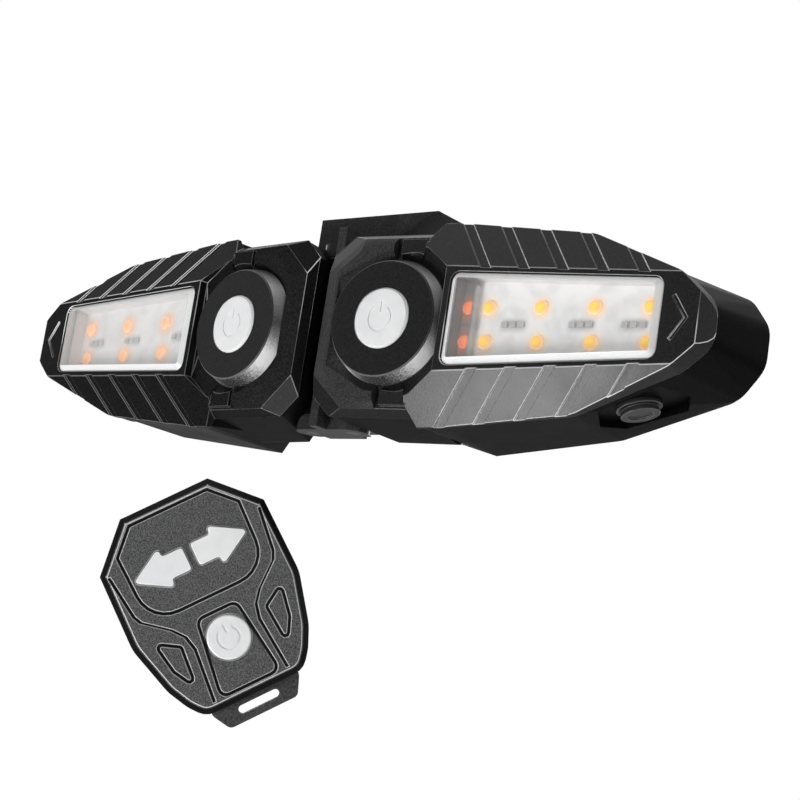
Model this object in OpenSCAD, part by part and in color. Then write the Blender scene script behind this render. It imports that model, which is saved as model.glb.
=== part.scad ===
// Folding bicycle turn signal light with two hinged wings and a hand-held remote.
// X runs to the right, Y to the back and Z up. The origin is on the seat post's axis,
// at mid height of the light, so the lens side faces -Y.

/* [Wing] */
// From the centre line to the tip of a flat wing's front face
wing_length = 90; // [87:0.5:93]
// Half height of a wing at its shoulder, beside the button
shoulder_h = 21.8; // [21:0.1:22]
// How far a wing's edge falls from the shoulder to the knee, where the taper steepens
knee_drop = 3.3; // [2.6:0.1:4]
// Depth of the front shell, from the lens plane to the parting line
front_d = 6; // [5.8:0.1:6.6]
// Depth of a wing behind its shoulder, the deepest place
shoulder_d = 31.8; // [30:0.2:32.4]
// Depth of a wing at its tip
tip_d = 22.6; // [21.5:0.1:24]
// Wall thickness of the wing shells
wall = 1.8; // [1.5:0.1:2]

/* [Window and lamps] */
// From the window's outer end to the tip of the wing's front face
window_edge = 7.85; // [7:0.05:9]
// Half height of the window at its inner end
window_in_h = 9.9; // [9.2:0.1:10.2]
// Half height of the window at its outer end
window_out_h = 8.1; // [7.5:0.1:8.3]
// How far the lamp board lies behind the front plane
lamp_board_y = 5.6; // [5.3:0.1:6]
// From the outermost amber lamps to the window's outer end
lamp_edge = 4.8; // [4.2:0.1:6]
// Half the distance between the two rows of lamps
lamp_row_z = 3.6; // [3:0.1:4.2]

/* [Grooves] */
// Number of slanted grooves on each facet
groove_count = 5; // [3:1:5]
// Width of a slanted groove
groove_w = 2.4; // [1.6:0.1:3]
// Depth of a slanted groove
groove_d = 0.5; // [0.3:0.1:0.7]
// Distance between neighbouring grooves
groove_pitch = 8.85; // [8:0.05:9.2]

/* [Light buttons] */
// Radius of a power button
button_r = 6.5; // [6:0.1:6.8]
// How far a power button is pressed in
button_travel = 1; // [0.6:0.1:1.2]
// Radius of the flat ring round a power button
ring_r = 12.5; // [11.9:0.1:12.7]

/* [Hinge and post mount] */
// Angle that each wing is swept back from flat in the photograph
rest_sweep = 6; // [3:1:10]
// Radius of a hinge pin
pin_r = 1.5; // [1.2:0.1:1.8]
// Radius of a hinge barrel
barrel_r = 3.6; // [3.3:0.1:3.8]
// Radius of the seat post that the light is strapped to
post_r = 13.6; // [12.7:0.1:15.9]
// Thickness of the rubber pad on the post
pad_t = 1.6; // [1.2:0.1:2]
// Height of the slot that the strap runs through
strap_slot_h = 16; // [14:1:18]
// Thickness of the slot that the strap runs through
strap_slot_t = 4.6; // [4.2:0.1:4.8]

/* [Charging port] */
// Radius of the rubber plug's flange
plug_r = 4.6; // [4.4:0.1:5.4]

/* [Remote] */
// Half width of the remote
remote_half_w = 18.9; // [18.4:0.1:20]
// Thickness of the remote
remote_t = 11.6; // [11.2:0.1:13]
// How far a key of the remote is pressed in
key_travel = 0.6; // [0.4:0.1:0.8]
// Radius of the remote's power key
remote_power_r = 4.6; // [4.2:0.1:4.8]

/* [Hidden] */
$fn = 64;

// Colours
shell_colour = [0.13, 0.13, 0.14];
trim_colour = [0.17, 0.17, 0.18];
button_colour = [0.92, 0.92, 0.92];
clear_colour = [0.85, 0.9, 0.95, 0.35];
board_colour = [0.93, 0.93, 0.9];
circuit_colour = [0.1, 0.3, 0.18];
metal_colour = [0.72, 0.73, 0.75];
rubber_colour = [0.08, 0.08, 0.08];

// Clearances
cut = 1;
through = 60;
skin = 0.01;
seat_gap = 0.02;
run_gap = 0.03;
slide_gap = 0.15;
body_gap = 0.4;

// Side of the light that a wing is on
left = -1;
right = 1;

// Hinge pins, measured from the front plane
pin_x = 5.7;
pin_y = 16;
block_half_h = shoulder_h - 1.8;
barrel_half_h = block_half_h - 2.4;
washer_t = 0.4;
lug_z = barrel_half_h + washer_t + 0.1;
lug_top = lug_z + 3;

// The seat post's axis is this far behind the front plane
post_y = pin_y + 22.4 + post_r;

// Outline of a wing, in its own frame: x outward, y back from the lens plane, z up
shoulder_x = 28;
shoulder_end_x = shoulder_x + 6;
knee_x = shoulder_x + 0.58 * (wing_length - shoulder_x);
knee_h = shoulder_h - knee_drop;
heel_x = wing_length - 4.5;
heel_h = window_out_h + 1.2;
tip_x = wing_length + 1.4;
tip_h = 4;
tip_flare = 3.8;
tip_round = 6;
knee_round = 10;
shoulder_drop = 0.2;
shoulder_corner = 4.2;
part_step = 0.5;
back_x = shoulder_x + 4.5;
back_draft = 0.2;
back_heel_x = heel_x + 4.9;
back_heel_h = heel_h + 0.8;
step_x = 23.3;
step_y = 26;
step_draft = 1;
flat_edge = 1.1;
facet_run = 10.8;
facet_d = 5;
facet_angle = atan(facet_d / facet_run);

// Block on the hinge side of a wing
block_in_x = 0.75;
block_in_h = 10.4;
block_top_x = 7;
block_d = 22.5;
block_back_h = block_half_h + 1.4;
block_corner = 3.4;
block_step = 0.3;
block_bevel = 1.6;
block_screw_x = 15;

// Recess round the power button, with the button's place
button_x = 19.25;
ring_base_r = ring_r + 0.9;
ring_seat_r = ring_base_r + 0.1;
recess_in_x = button_x - ring_seat_r;
recess_out_x = button_x + ring_seat_r + 0.45;
floor_y = 3.6;
frame_y = 2;
frame_in_x = recess_in_x - 0.65;
slot_x = 18.4;
slot_w = 1.5;

// Window and the lamps behind it
window_x = recess_out_x + 1.45;
window_l = wing_length - window_edge - window_x;
window_corner_r = 2;
chamber_x = window_x - 0.45;
divider_x = window_x + 3.4;
divider_t = 0.8;
window_taper = atan((window_in_h - window_out_h) / window_l);
red_x = window_x + 1.8;
left_lamp_start = 15.5;
right_lamp_start = 6.7;
left_lamp_edge = lamp_edge - 1.4;
chip_leads = [5.9, 2.6, 3.1];
led_r = 1.6;
led_t = 0.9;
board_t = 1.2;
lens_gap = 0.04;
lens_flange_t = 0.8;
flange_edge = 0.2;
seal_w = 0.7;
seal_t = 0.75;

// Power button's flange and stem, and the switch that the stem meets
flange_r = button_r + 0.9;
flange_y = 1.8;
flange_t = 0.8;
stem_y = 4.5;
switch_y = stem_y + button_travel + 0.1;

// Bracket, measured from the front plane
spine_half_w = 1.1;
spine_y = 9;
body_half_w = 5.2;
body_y = 20.4;
body_back_y = 26.4;
head_y = 21;
head_t = 10.6;
head_z = block_half_h + 2.4;
head_h = 7.6;
head_left_x = -17.5;
head_right_x = 15.9;
neck_x = 5.8;
neck_h = 2.3;
body_half_h = lug_z + 0.9;
saddle_screw_z = strap_slot_h / 2 + 3.7;
saddle_half_h = saddle_screw_z + 3.5;
saddle_seat_y = 32;
slot_y = 28.8;
arm_angle = 62;

// Charging port on the lower slanted wall
port_along = 0.35;
port_sink = 0.8;
port_y = 14.7;
port_depth = 1.1;
port_hole_r = plug_r - 0.6;
port_boss_t = 2.6;
plug_stub = 2.4;

// Remote's place beside the light, and how it is turned
remote_at = [-5.5, -6.1, -62.4];
remote_turn = [4.6, -34.7, 44];
remote_part_y = 5.6;
remote_wall = 1.6;
remote_chamfer = 1.5;
remote_power_z = -7.5;
arrow_at = [7, 10.8];
key_proud = 0.5;
key_flange_y = 1.8;
key_flange_t = 0.6;
key_stem_y = 3.2;
key_switch_y = key_stem_y + key_travel + 0.1;
remote_board_y = 6.2;
remote_board_t = 1;
remote_screw_places = [[15, 14], [12, -11]];
remote_boss_r = 2.1;
remote_screw_r = 0.8;
remote_head_r = 1.5;
remote_head_sunk = 2;
line_w = 0.7;
line_d = 0.4;
coin_r = 10;
coin_t = 2.5;
coin_z = 2;

// Mirrors the upper half of an outline to close it, running from the top to the bottom
function both_halves(upper) = concat(
    upper, [for (i = [len(upper) - 1 : -1 : 0]) [upper[i][0], -upper[i][1]]]
);

// Mirrors the right half of an outline to close it, running from the top to the bottom
function both_sides(right_half) = concat(
    right_half,
    [for (i = [len(right_half) - 1 : -1 : 0]) [-right_half[i][0], right_half[i][1]]]
);

function unit(v) = v / norm(v);
function at(list, i) = list[(i + len(list)) % len(list)];
function normal_in(a, b) = let (d = unit(b - a)) [d[1], -d[0]];

// Corner i of a clockwise outline, moved in by d
function inset_corner(pts, i, d) = let (
    n1 = normal_in(at(pts, i - 1), pts[i]),
    n2 = normal_in(pts[i], at(pts, i + 1))
) pts[i] + d * (n1 + n2) / (1 + n1 * n2);

// A clockwise outline moved in by d, or out where d is negative
function inset(pts, d) = [for (i = [0 : len(pts) - 1]) inset_corner(pts, i, d)];

// A corner as an arc of radius r, with its ends on the two sides
function round_corner(before, corner, after, r, steps) = let (
    u = unit(before - corner),
    v = unit(after - corner),
    half = acos(u * v) / 2,
    centre = corner + unit(u + v) * r / sin(half),
    from = corner + u * r / tan(half) - centre,
    to = corner + v * r / tan(half) - centre,
    a0 = atan2(from[1], from[0]),
    turn = (atan2(to[1], to[0]) - a0 + 540) % 360 - 180
) [for (k = [0 : steps]) centre + r * [cos(a0 + turn * k / steps), sin(a0 + turn * k / steps)]];

// A list followed by itself in reverse, for the corners of a mirrored outline
function there_and_back(list) = concat(list, [for (i = [len(list) - 1 : -1 : 0]) list[i]]);

// An outline with its corners rounded by one radius, or by a list of them where 0 keeps a corner
function radius_at(r, i) = is_list(r) ? r[i] : r;
function rounded(pts, r, steps = 5) = [
    for (i = [0 : len(pts) - 1]) each (
        radius_at(r, i) == 0
        ? [pts[i]]
        : round_corner(at(pts, i - 1), pts[i], at(pts, i + 1), radius_at(r, i), steps)
    )
];

// Front view outlines of a wing
wing_outline = rounded(both_halves([
    [shoulder_x - 2, shoulder_h - shoulder_corner], [shoulder_x + 0.6, shoulder_h],
    [shoulder_end_x, shoulder_h - shoulder_drop], [knee_x, knee_h], [heel_x, heel_h], [tip_x, tip_h]
]), there_and_back([0, 0, 0, knee_round, tip_round, tip_round]), 4);
back_flat = rounded(both_halves([
    [back_x, shoulder_h - back_draft], [knee_x + back_draft, knee_h - back_draft],
    [back_heel_x, back_heel_h], [tip_x + tip_flare, tip_h]
]), there_and_back([0, knee_round, tip_round, tip_round]), 4);
back_step = rounded(both_halves([
    [step_x, shoulder_h - 2.2 * step_draft], [shoulder_x + 3 * step_draft, shoulder_h - step_draft],
    [knee_x, knee_h - step_draft], [back_heel_x - tip_flare / 2, back_heel_h],
    [tip_x + tip_flare / 2, tip_h]
]), there_and_back([0, 0, knee_round, tip_round, tip_round]), 4);
block_outline = both_halves([
    [block_in_x + 0.25, block_in_h + 5.2], [block_top_x - 1.2, block_half_h - 0.2],
    [shoulder_x, block_half_h - 0.2]
]);
block_back = both_halves([
    [block_top_x + 4, block_back_h - block_corner],
    [block_top_x + 6.5, block_back_h], [shoulder_x + 1, block_back_h]
]);
function block_front(end_x) = both_halves([
    [block_in_x + 1.2, block_in_h + 0.9], [block_top_x + 3, block_half_h - block_bevel],
    [end_x, block_half_h - block_bevel]
]);
frame_front = both_halves([
    [frame_in_x, block_in_h + 0.3], [frame_in_x + 5.2, block_half_h - 4.7],
    [slot_x, block_half_h - 3.4]
]);
recess = both_halves([
    [recess_in_x, 9.6], [button_x - 3.15, block_half_h - 5.1],
    [button_x + 7.15, block_half_h - 4], [recess_out_x, 11]
]);
window_plain = both_halves([
    [window_x, window_in_h], [window_x + window_l, window_out_h]
]);
window = rounded(window_plain, window_corner_r);

// Front view outlines of the remote
remote_outline = rounded(both_sides([
    [remote_half_w - 9, 24], [remote_half_w - 0.3, 15], [remote_half_w, -1.5],
    [remote_half_w - 2.9, -12.3], [remote_half_w - 5.2, -16.8], [remote_half_w - 7.9, -20.2]
]), there_and_back([0, 0, 10, 10, 10, 4]), 3);
arrow_plain = [
    [12.9, 10.8], [5.4, 6.4], [5.4, 8.3], [0.9, 8.3], [0.9, 13.3], [5.4, 13.3], [5.4, 15.2]
];
arrow = rounded(arrow_plain, 0.6, 3);
arrow_island = rounded(
    both_sides([[8.8, 21.9], [13.7, 16.9], [13.2, 1.8]]), there_and_back([0, 0, 6.5]), 6
);
power_island = rounded(both_sides([[4.4, -1.5], [6.6, -18]]), 1.6, 4);
corner_pad = rounded([[14.3, -2.2], [13.1, -9], [10.3, -14], [9.6, -5.1]], 0.7, 3);
side_path = [
    [16.6, 14], [15.4, 4.6], [14.6, 2.9], [9.6, -1.2], [7.6, -3.7], [6.9, -6.8], [7.9, -18.2]
];
side_line = [
    each side_path, for (i = [len(side_path) - 1 : -1 : 0]) side_path[i] + [line_w, 0]
];
lanyard_tab = rounded(both_sides([[11, -19], [7.7, -24.8]]), 1.5, 4);
lanyard_slot = rounded(both_sides([[4.6, -21.4], [4.6, -23.2]]), 0.85, 5);

// Back plane of a wing, sloping from the shoulder to the tip
back_slope = (shoulder_d - tip_d) / (tip_x + tip_flare - back_x);
function back_y(x) = shoulder_d - back_slope * (x - back_x);
back_angle = atan(back_slope);

// Screws of a wing: x, z and the depth of the wall that the head is sunk in
shell_screw_z = block_half_h - 4.6;
wing_screw_x = shoulder_x + 10;
tip_screw_x = wing_length - 2.8;
shell_screw_places = [
    [tip_screw_x, 0, back_y(tip_screw_x)],
    for (m = [-1, 1]) each [
        [wing_screw_x, m * shell_screw_z, back_y(wing_screw_x)],
        [block_screw_x, m * shell_screw_z, block_d]
    ]
];
screw_r = 1.25;
screw_head_r = 2.4;
screw_head_t = 1.8;
screw_sunk = 2.6;
screw_boss_r = 3.6;
screw_end_y = front_d - 2;

// Extrudes a front view outline from y0 to y1
module plate(y0, y1, outline) {
    translate([0, y1, 0]) rotate([90, 0, 0]) linear_extrude(y1 - y0) polygon(outline);
}

// A round bar along Y
module bar_y(x, z, r, y0, y1) {
    translate([x, y0, z]) rotate([-90, 0, 0]) cylinder(h = y1 - y0, r = r);
}

// A block from its lowest corner to its highest corner
module block(from, to) {
    translate(from) cube(to - from);
}

// A thin plate on the sloping back plane, set d in front of it
module back_plate(outline, d) {
    translate([back_x, shoulder_d - d, 0]) rotate([0, 0, -back_angle])
        plate(-skin, 0, [for (p = outline) [(p[0] - back_x) / cos(back_angle), p[1]]]);
}

// Puts a wing's piece on the right or the left, swept back as in the photograph
module on_wing(side) {
    mirror([side == left ? 1 : 0, 0, 0])
        translate([pin_x, pin_y - post_y, 0])
            rotate([0, 0, rest_sweep])
                translate([-pin_x, -pin_y, 0])
                    children();
}

// Puts a piece of the bracket in place, measured from the front plane
module on_bracket() {
    translate([0, -post_y, 0]) children();
}

// Puts a piece of the remote in place: its face looks along -Y before it is turned
module on_remote() {
    translate(remote_at - [0, post_y, 0])
        rotate([0, 0, remote_turn[2]])
            rotate([remote_turn[0], 0, 0])
                rotate([0, remote_turn[1], 0])
                    children();
}

// Charging port's frame: -Z points out of the wall, X runs along the wall to the tip
port_angle = atan2(knee_h - back_heel_h, back_heel_x - knee_x);
port_at = [knee_x, -knee_h] + port_along * [back_heel_x - knee_x, knee_h - back_heel_h];
port_recess = [[-9.5, 1.5], [-6, 6.6], [7.5, 6.6], [10.5, 1], [7.5, -6.6], [-6, -6.6]];
module on_port() {
    translate([port_at[0], port_y, port_at[1] + port_sink])
        rotate([0, -port_angle, 0])
            children();
}

// Puts a piece at the edge of the upper facet, which follows the window's upper side
module on_facet() {
    translate([window_x, 0, window_in_h + flat_edge]) rotate([0, window_taper, 0]) children();
}

// Room below the upper facet and behind the flat band of the front
module half_roof(d) {
    depth = front_d + 2 * cut;
    edge_z = -d * tan(facet_angle / 2);
    far_z = edge_z + (depth - d) * facet_run / facet_d;
    on_facet() rotate([90, 0, 90]) translate([0, 0, -through]) linear_extrude(3 * through)
        polygon([[d, edge_z], [depth, far_z], [depth, -through], [d, -through]]);
}

// Roof of the front shell: a flat band with a facet sloping back above and below it
module roof(d) {
    intersection() {
        half_roof(d);
        mirror([0, 0, 1]) half_roof(d);
    }
}

// Outer form of the front shell, or of its cavity where d is the wall
module front_form(d) {
    back = front_d + (d > 0 ? cut : 0);
    intersection() {
        plate(d, back, inset(wing_outline, d));
        roof(d);
        translate([0, 0, -through / 2]) linear_extrude(through)
            polygon([[0, 0], [wing_length - d, 0], [tip_x - d, front_d], [tip_x - d, back], [0, back]]);
    }
}

// Outer form of the rear shell, or of its cavity where d is the wall
module rear_form(d) {
    hull() {
        plate(front_d - (d > 0 ? cut : 0), front_d + cut, inset(wing_outline, part_step + d));
        plate(step_y - 1, step_y - d, inset(back_step, d));
        back_plate(inset(back_flat, d), d);
    }
}

// Hinge side block of the rear shell, or its cavity where d is the wall
module block_form(d) {
    hull() {
        plate(front_d - (d > 0 ? cut : 0), front_d + cut, inset(block_outline, block_step + d));
        plate(block_d - 2, block_d - d, inset(block_back, d));
    }
}

// A slanted groove on the upper facet, leaning outward toward the window
module groove(i) {
    x0 = 6.6 + i * groove_pitch;
    lean = 10.8;
    near = -0.2;
    far = 14;
    on_facet() rotate([-facet_angle, 0, 0]) plate(-2, groove_d, [
        [x0 - lean, far], [x0 - lean + groove_w, far], [x0 + groove_w, near], [x0, near]
    ]);
}

// Arrowhead mark at the wing's tip
module tip_mark() {
    mark_x = wing_length - 2.9;
    depth = 0.4;
    for (m = [0, 1]) mirror([0, 0, m]) plate(-cut, depth, [
        [mark_x, 0], [mark_x - 2.8, 4.1], [mark_x - 2.2, 4.5], [mark_x + 0.8, 0]
    ]);
}

// Solid columns round the screws of a wing
module screw_bosses() {
    for (p = shell_screw_places) bar_y(p[0], p[1], screw_boss_r, 0, p[2]);
}

// Recess round a power button: straight at its mouth, then narrowing to the ring's seat
module recess_form() {
    hull() {
        plate(-cut, frame_y, recess);
        bar_y(button_x, 0, ring_seat_r, floor_y - skin, floor_y);
    }
}

// Front half of a wing: window frame, faceted sides and the floor round the button
module front_shell() {
    ledge_y = 2.7;
    floor_t = 1.6;
    ledge = both_halves([
        [slot_x + slot_w, block_half_h - 2.2], [shoulder_x - 1.6, block_half_h - 2.2]
    ]);
    block_cavity = both_halves([
        [block_in_x + 3.75, block_in_h - 0.9], [block_top_x + 2.5, barrel_half_h],
        [shoulder_x - 0.6, barrel_half_h]
    ]);
    color(shell_colour) difference() {
        union() {
            front_form(0);
            hull() {
                plate(floor_y, floor_y + skin, block_front(shoulder_x));
                plate(front_d - skin, front_d, block_outline);
            }
            plate(ledge_y, floor_y, ledge);
        }
        difference() {
            intersection() {
                front_form(wall);
                block([chamber_x, 0, -through / 2], [tip_x, front_d + cut, through / 2]);
            }
            screw_bosses();
        }
        difference() {
            plate(floor_y + floor_t, front_d + cut, block_cavity);
            screw_bosses();
        }
        recess_form();
        plate(-cut, wall + cut, window);
        bar_y(button_x, 0, ring_r - 4, floor_y - cut, front_d);
        for (m = [0, 1], i = [0 : groove_count - 1]) mirror([0, 0, m]) groove(i);
        tip_mark();
        for (p = shell_screw_places) bar_y(p[0], p[1], screw_r + seat_gap, screw_end_y, front_d + cut);
    }
}

// C-shaped trim on the hinge side of the button
module hinge_frame() {
    color(trim_colour) difference() {
        hull() {
            plate(frame_y, frame_y + skin, frame_front);
            plate(floor_y - skin, floor_y, block_front(slot_x));
        }
        recess_form();
        bar_y(button_x, 0, ring_seat_r, floor_y - cut, floor_y + cut);
    }
}

// Hinge barrel of a wing
module barrel() {
    translate([pin_x, pin_y, -barrel_half_h]) cylinder(h = 2 * barrel_half_h, r = barrel_r);
}

// Extrudes an outline in the port's frame
module port_plate(z0, z1, outline) {
    translate([0, 0, z0]) linear_extrude(z1 - z0) polygon(outline);
}

// Rear half of a wing, with the hinge barrel, the screw bosses and the charging port
module rear_shell() {
    color(shell_colour) difference() {
        union() {
            rear_form(0);
            block_form(0);
            barrel();
        }
        difference() {
            rear_form(wall);
            screw_bosses();
            on_port() port_plate(-4, port_depth + port_boss_t, inset(port_recess, -1.2));
        }
        difference() {
            block_form(wall);
            screw_bosses();
            barrel();
        }
        for (m = [0, 1]) mirror([0, 0, m]) translate([pin_x, pin_y, barrel_half_h])
            cylinder(h = 10, r = barrel_r + body_gap);
        translate([pin_x, pin_y, -through / 2]) cylinder(h = through, r = pin_r + run_gap);
        for (p = shell_screw_places) {
            bar_y(p[0], p[1], screw_r + slide_gap, front_d - cut, p[2] + cut);
            bar_y(p[0], p[1], screw_head_r + slide_gap, p[2] - screw_sunk - screw_head_t, p[2] + 4);
        }
        seal_ring(seal_w + 0.1, seal_t + 0.05);
        on_port() {
            port_plate(-6, port_depth, port_recess);
            translate([0, 0, -cut]) cylinder(h = 12, r = port_hole_r);
        }
    }
}

// Closed ring in the rim of the rear shell, as wide and deep as given
module seal_ring(w, t) {
    mid = part_step + wall / 2;
    difference() {
        plate(front_d, front_d + t, inset(wing_outline, mid - w / 2));
        plate(front_d - cut, front_d + t + cut, inset(wing_outline, mid + w / 2));
    }
}

// Rubber seal between the two shells
module shell_seal() {
    color(rubber_colour) seal_ring(seal_w, seal_t);
}

// Clear window with a bevelled rim and a flange behind the shell
module lens() {
    proud = 0.5;
    bevel = 1.5;
    color(clear_colour) {
        hull() {
            plate(-proud, skin - proud, inset(window, bevel));
            plate(0.5, wall + lens_gap, inset(window, slide_gap));
        }
        plate(wall + lens_gap, wall + lens_flange_t, inset(window_plain, -flange_edge));
    }
}

// White light box behind the lens, with a low wall between the red and the amber lamps
module lamp_tray() {
    front = wall + lens_flange_t + lens_gap;
    color(board_colour) {
        difference() {
            plate(front, lamp_board_y, inset(window_plain, -flange_edge));
            plate(front - cut, lamp_board_y + cut, inset(window_plain, 0.5));
        }
        block([divider_x, lamp_board_y - 1.4, -window_out_h],
              [divider_x + divider_t, lamp_board_y, window_out_h]);
    }
}

// White board that carries the lamps
module lamp_board() {
    color(board_colour) plate(lamp_board_y, lamp_board_y + board_t, inset(window_plain, 0.3));
}

// A chip on the front of the lamp board
module on_board(x, z, w, h, t) {
    block([x - w / 2, lamp_board_y - t, z - h / 2], [x + w / 2, lamp_board_y, z + h / 2]);
}

// Columns of amber lamps: three on the left wing, four on the right one
function lamp_columns(side) = side == left ? 3 : 4;
function lamp_x(side, i) = let (
    first = side == left ? left_lamp_start : right_lamp_start,
    last = window_l - (side == left ? left_lamp_edge : lamp_edge)
) window_x + first + i * (last - first) / (lamp_columns(side) - 1);

// A round lamp on the front of the lamp board, with a domed top
module lamp(x, z, r) {
    dome = 0.3;
    bar_y(x, z, r, lamp_board_y - led_t + dome, lamp_board_y);
    translate([x, lamp_board_y - led_t + dome, z]) rotate([90, 0, 0])
        cylinder(h = dome, r1 = r, r2 = r - 2 * dome);
}

// Two rows of amber lamps
module amber_leds(side) {
    color([1, 0.66, 0.2]) for (i = [0 : lamp_columns(side) - 1], m = [-1, 1])
        lamp(lamp_x(side, i), m * lamp_row_z, led_r);
}

// Pair of red lamps at the inner end
module red_leds() {
    color([0.85, 0.3, 0.15]) for (m = [-1, 1]) lamp(red_x, m * lamp_row_z, 0.75 * led_r);
}

// Small chips on the middle line of the lamp board, inward of the last three columns
module lamp_chips(side) {
    color([0.25, 0.25, 0.26]) for (i = [0 : 2], k = [-1, 0, 1])
        on_board(lamp_x(side, lamp_columns(side) - 3 + i) - chip_leads[i] + k * 1.9, 0, 1.3, 1.1, 0.5);
}

// Raised ring round a power button
module button_bezel() {
    edge = 0.3;
    shoulder_y = flange_y - 0.1;
    color(shell_colour) translate([button_x, 0, 0]) rotate([-90, 0, 0]) rotate_extrude() polygon([
        [button_r + slide_gap, 0], [ring_r - edge, 0], [ring_r, edge], [ring_base_r, floor_y],
        [flange_r + slide_gap, floor_y], [flange_r + slide_gap, shoulder_y],
        [button_r + slide_gap, shoulder_y]
    ]);
}

// Power mark: an open ring with a bar, cut into a button's face
module power_mark(r, depth) {
    line = 0.12 * r;
    gap = 70;
    rotate([0, 0, 90 + gap / 2]) rotate_extrude(angle = 360 - gap) translate([r - line, 0])
        square([2 * line, depth + cut]);
    translate([-line, 0.45 * r, 0]) cube([2 * line, 0.85 * r, depth + cut]);
}

// Translucent power button with a flange that holds it in the bezel
module power_button() {
    proud = 0.35;
    mark_d = 0.15;
    color(button_colour) translate([button_x, 0, 0]) rotate([90, 0, 0]) difference() {
        rotate_extrude() polygon([
            [0, proud], [button_r - 0.4, proud], [button_r, proud - 0.4], [button_r, -flange_y],
            [flange_r, -flange_y], [flange_r, -flange_y - flange_t], [2, -flange_y - flange_t],
            [2, -stem_y], [0, -stem_y]
        ]);
        translate([0, 0, proud - mark_d]) power_mark(0.42 * button_r, mark_d);
    }
}

// Push switch behind a power button
module button_switch() {
    color(metal_colour) {
        block([button_x - 3, switch_y + 0.7, -3], [button_x + 3, switch_y + 2.4, 3]);
        bar_y(button_x, 0, 1.6, switch_y, switch_y + 0.7);
    }
}

// Circuit board behind the switch
module control_board() {
    color(circuit_colour)
        block([11.5, switch_y + 2.4, -11], [25.4, switch_y + 2.4 + board_t, 11]);
}

// Flat lithium cell
module battery() {
    front = 12;
    half_h = knee_h - 7.2;
    thickness = 11;
    color([0.35, 0.42, 0.5])
        block([shoulder_x + 5.6, front, -half_h], [knee_x - 4, front + thickness, half_h]);
}

// Charging socket behind the rubber plug
module usb_socket() {
    half_l = 3.7;
    half_h = 1.35;
    lip = 0.35;
    mouth_z = port_depth + plug_stub + 0.3;
    color(metal_colour) on_port() difference() {
        block([-half_l, -half_h, mouth_z], [half_l, half_h, mouth_z + 6.5]);
        block([lip - half_l, lip - half_h, mouth_z - cut], [half_l - lip, half_h - lip, mouth_z + 5]);
    }
}

// Stepped rubber plug that closes the charging port
module port_plug() {
    seat = port_depth - seat_gap;
    rib = 0.9;
    neck = 0.45;
    neck_r = plug_r - 0.7;
    dish_r = plug_r - 2;
    top = seat - 2 * rib - neck;
    stub_r = port_hole_r - slide_gap;
    color(rubber_colour) on_port() rotate_extrude() polygon([
        [0, top + neck], [dish_r, top + neck], [dish_r, top], [neck_r, top], [neck_r, top + rib],
        [neck_r - neck, top + rib], [neck_r - neck, seat - rib], [plug_r, seat - rib], [plug_r, seat],
        [stub_r, seat], [stub_r, seat + plug_stub], [0, seat + plug_stub]
    ]);
}

// Screws that hold the two shells together
module shell_screws() {
    color(metal_colour) for (p = shell_screw_places) {
        seat = p[2] - screw_sunk - screw_head_t;
        bar_y(p[0], p[1], screw_r, screw_end_y + 0.1, seat + skin);
        difference() {
            bar_y(p[0], p[1], screw_head_r, seat, p[2] - screw_sunk);
            cross_slot(p[0], p[1], p[2] - screw_sunk);
        }
    }
}

// Cross recess in a screw head that faces +Y
module cross_slot(x, z, y) {
    depth = 0.8;
    for (a = [0, 90]) translate([x, y - depth, z]) rotate([0, a, 0])
        translate([-1.5, 0, -0.3]) cube([3, depth + cut, 0.6]);
}

// Hinge pin, held in the bracket's lugs
module hinge_pin(side) {
    color(metal_colour) on_bracket() translate([side * pin_x, pin_y, -lug_top])
        cylinder(h = 2 * lug_top, r = pin_r);
}

// Friction washers above and below a hinge barrel
module hinge_washers(side) {
    color(metal_colour) on_bracket() for (z = [barrel_half_h + 0.05, -barrel_half_h - 0.05 - washer_t])
        translate([side * pin_x, pin_y, z]) difference() {
            cylinder(h = washer_t, r = barrel_r - 0.3);
            translate([0, 0, -cut]) cylinder(h = washer_t + 2 * cut, r = pin_r + slide_gap);
        }
}

// Bracket between the wings: spine, hinge lugs and the flared head above the wings
module centre_bracket() {
    color(trim_colour) on_bracket() difference() {
        union() {
            block([-spine_half_w, spine_y, -lug_top], [spine_half_w, body_y + cut, head_z + cut]);
            block([-body_half_w, body_y, -body_half_h], [body_half_w, body_back_y, head_z + cut]);
            for (m = [0, 1]) mirror([0, 0, m]) {
                for (side = [left, right]) translate([side * pin_x, pin_y, lug_z])
                    cylinder(h = lug_top - lug_z, r = barrel_r);
                block([-body_half_w, pin_y - barrel_r, lug_z], [body_half_w, body_y + cut, lug_top]);
            }
            plate(head_y, head_y + head_t, [
                [head_left_x, head_z], [head_left_x, head_z + head_h], [head_right_x, head_z + head_h],
                [neck_x, head_z + neck_h], [neck_x, head_z]
            ]);
        }
        for (side = [left, right]) translate([side * pin_x, pin_y, -through / 2])
            cylinder(h = through, r = pin_r + seat_gap);
        for (m = [-1, 1])
            bar_y(0, m * saddle_screw_z, screw_r + seat_gap, body_y + cut, body_back_y + cut);
    }
}

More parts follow.
